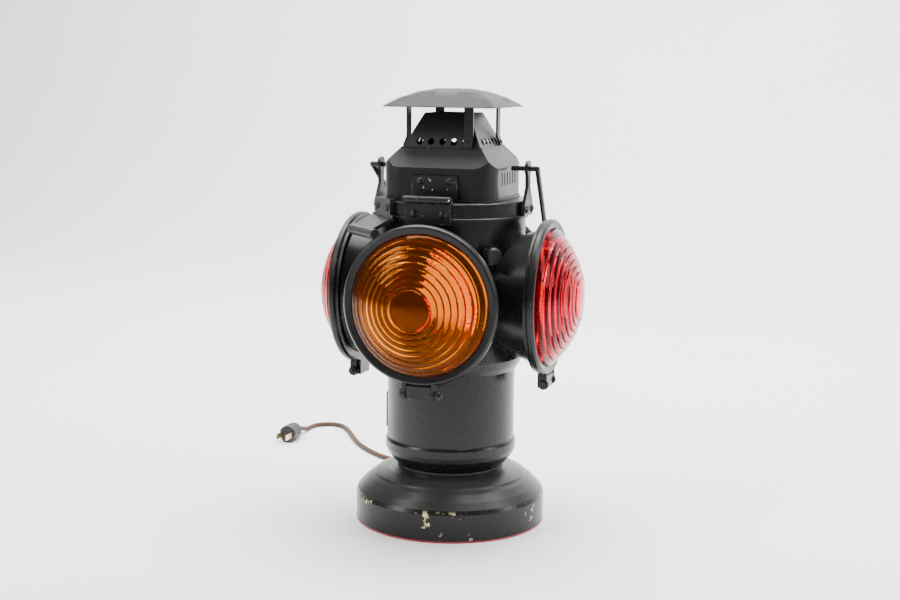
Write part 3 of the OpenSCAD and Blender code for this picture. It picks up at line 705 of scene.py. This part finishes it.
def finish_inside(look):
    paint(["felt_pad"], felt(look))
    paint(["lens_gaskets"], moulded("gasket_cork", (0.05, 0.035, 0.024), 0.8))
    paint(["cord_grommet"], moulded("grommet_rubber", (0.014, 0.013, 0.013), 0.5))
    brass = plated("holder_brass", (0.66, 0.47, 0.17), (0.20, 0.11, 0.04))
    paint(["lamp_stem", "stem_nut", "lamp_holder"], brass)
    paint(["plug_prongs"], plated("prong_brass", (0.78, 0.62, 0.32), (0.45, 0.30, 0.12), 0.2))
    paint(["bulb_cap"], plated("cap_nickel", (0.66, 0.65, 0.62), (0.32, 0.29, 0.25)))
    paint(["bulb"], opal_bulb(look))


# ---------- stage ----------
def add_light(name, spot, aim, size, power, tint=(1, 1, 1)):
    light = bpy.data.lights.new(name, "AREA")
    light.shape = "RECTANGLE"
    light.size, light.size_y = size
    light.energy = power
    light.color = tint
    holder = bpy.data.objects.new(name, light)
    holder.location = spot
    holder.rotation_euler = (Vector(aim) - Vector(spot)).to_track_quat("-Z", "Y").to_euler()
    bpy.context.scene.collection.objects.link(holder)


def make_camera(stage):
    turn, rise = stage.turn, stage.rise
    back = Vector((sin(turn) * cos(rise), -cos(turn) * cos(rise), sin(rise)))
    right = Vector((cos(turn), sin(turn), 0))
    up = back.cross(right)
    aim = Vector((0, 0, stage.height)) + right * stage.aside
    level = right * cos(stage.roll) + up * sin(stage.roll)
    upright = up * cos(stage.roll) - right * sin(stage.roll)
    data = bpy.data.cameras.new("camera")
    data.lens = stage.focal
    data.sensor_width = 36
    data.clip_start = 0.01
    camera = bpy.data.objects.new("camera", data)
    axes = Matrix((level, upright, back)).transposed().to_4x4()
    camera.matrix_world = Matrix.Translation(aim + back * stage.distance) @ axes
    bpy.context.scene.collection.objects.link(camera)
    bpy.context.scene.camera = camera


def make_floor(stage):
    """Floor that turns up into a wall in one wide bend."""
    half, bend, wall, reach = 9.0, 0.8, 3.5, 1.6
    line = [(-half, 0.0)]
    line += [(reach + bend * sin(pi / 2 * k / 16), bend * (1 - cos(pi / 2 * k / 16))) for k in range(17)]
    line += [(reach + bend, wall)]
    points = [(x, y, z) for y, z in line for x in (-half, half)]
    faces = [(2 * i, 2 * i + 1, 2 * i + 3, 2 * i + 2) for i in range(len(line) - 1)]
    ground = new_piece("floor_and_wall", points, faces, plaster(stage))


def make_stage(lamp):
    make_camera(lamp.stage)
    make_floor(lamp.stage)
    add_light("window_left", (-1.3, -1.1, 1.25), (0, 0, 0.25), (0.7, 1.3), 34, (1.0, 0.99, 0.97))
    add_light("window_right", (1.5, 0.1, 1.0), (0, 0, 0.25), (0.5, 1.2), 18, (0.96, 0.98, 1.0))
    add_light("ceiling", (0.0, 0.5, 2.3), (0, 0.3, 0), (2.4, 2.0), 150)
    add_light("wall_wash", (0.0, 0.6, 2.4), (0, 2.3, 0.9), (3.0, 0.8), 130)
    world = bpy.data.worlds.new("studio")
    world.use_nodes = True
    back = world.node_tree.nodes["Background"]
    back.inputs["Color"].default_value = (0.96, 0.98, 1.0, 1)
    back.inputs["Strength"].default_value = 0.22
    bpy.context.scene.world = world


# ---------- operators and panel ----------
class SIGNALLAMP_OT_stage(bpy.types.Operator):
    """Sets up the camera, the floor and the soft lights"""
    bl_idname = "signallamp.stage"
    bl_label = "Stage"

    def execute(self, context):
        make_stage(context.scene.signal_lamp)
        return {"FINISHED"}


class SIGNALLAMP_OT_cord(bpy.types.Operator):
    """Makes the mains cord with its coil, strain relief and plug"""
    bl_idname = "signallamp.cord"
    bl_label = "Cord and plug"

    def execute(self, context):
        make_cord(context.scene.signal_lamp)
        return {"FINISHED"}


class SIGNALLAMP_OT_lenses(bpy.types.Operator):
    """Makes the four stepped glass lenses"""
    bl_idname = "signallamp.lenses"
    bl_label = "Lenses"

    def execute(self, context):
        make_lenses(context.scene.signal_lamp)
        return {"FINISHED"}


class SIGNALLAMP_OT_roll(bpy.types.Operator):
    """Makes the ribbed roll of the corner bracket"""
    bl_idname = "signallamp.roll"
    bl_label = "Bracket roll"

    def execute(self, context):
        make_roll()
        return {"FINISHED"}


class SIGNALLAMP_OT_housing(bpy.types.Operator):
    """Gives the housing, foot, lid and cap their enamel"""
    bl_idname = "signallamp.housing"
    bl_label = "Housing enamel"

    def execute(self, context):
        finish_housing(context.scene.signal_lamp.finish)
        return {"FINISHED"}


class SIGNALLAMP_OT_fittings(bpy.types.Operator):
    """Gives the hinge, bail, bracket and fastenings their worn steel"""
    bl_idname = "signallamp.fittings"
    bl_label = "Steel fittings"

    def execute(self, context):
        finish_fittings(context.scene.signal_lamp.finish)
        return {"FINISHED"}


class SIGNALLAMP_OT_inside(bpy.types.Operator):
    """Gives the bulb, brass, rubber and felt their finish"""
    bl_idname = "signallamp.inside"
    bl_label = "Bulb, brass and felt"

    def execute(self, context):
        finish_inside(context.scene.signal_lamp.finish)
        return {"FINISHED"}


OPERATORS = (SIGNALLAMP_OT_stage, SIGNALLAMP_OT_cord, SIGNALLAMP_OT_lenses, SIGNALLAMP_OT_roll,
             SIGNALLAMP_OT_housing, SIGNALLAMP_OT_fittings, SIGNALLAMP_OT_inside)


class SIGNALLAMP_PT_panel(bpy.types.Panel):
    """Lists the sizes, colours and steps of the signal lamp"""
    bl_idname = "SIGNALLAMP_PT_panel"
    bl_label = "Signal lamp"
    bl_space_type = "VIEW_3D"
    bl_region_type = "UI"
    bl_category = "Signal lamp"

    def draw(self, context):
        lamp = context.scene.signal_lamp
        for title in ("stage", "cord", "lens", "finish"):
            group = getattr(lamp, title)
            box = self.layout.box()
            box.label(text=title.capitalize())
            for name in group.bl_rna.properties.keys():
                if name not in ("rna_type", "name"):
                    box.prop(group, name)
        for operator in OPERATORS:
            self.layout.operator(operator.bl_idname)


CLASSES = (SignalLampFinish, SignalLampLens, SignalLampCord, SignalLampStage, SignalLamp,
           *OPERATORS, SIGNALLAMP_PT_panel)


def register():
    for item in CLASSES:
        bpy.utils.register_class(item)
    bpy.types.Scene.signal_lamp = PointerProperty(type=SignalLamp)


def unregister():
    del bpy.types.Scene.signal_lamp
    for item in reversed(CLASSES):
        bpy.utils.unregister_class(item)


def main():
    register()
    for operator in OPERATORS:
        group, name = operator.bl_idname.split(".")
        getattr(getattr(bpy.ops, group), name)()


if __name__ == "__main__":
    main()
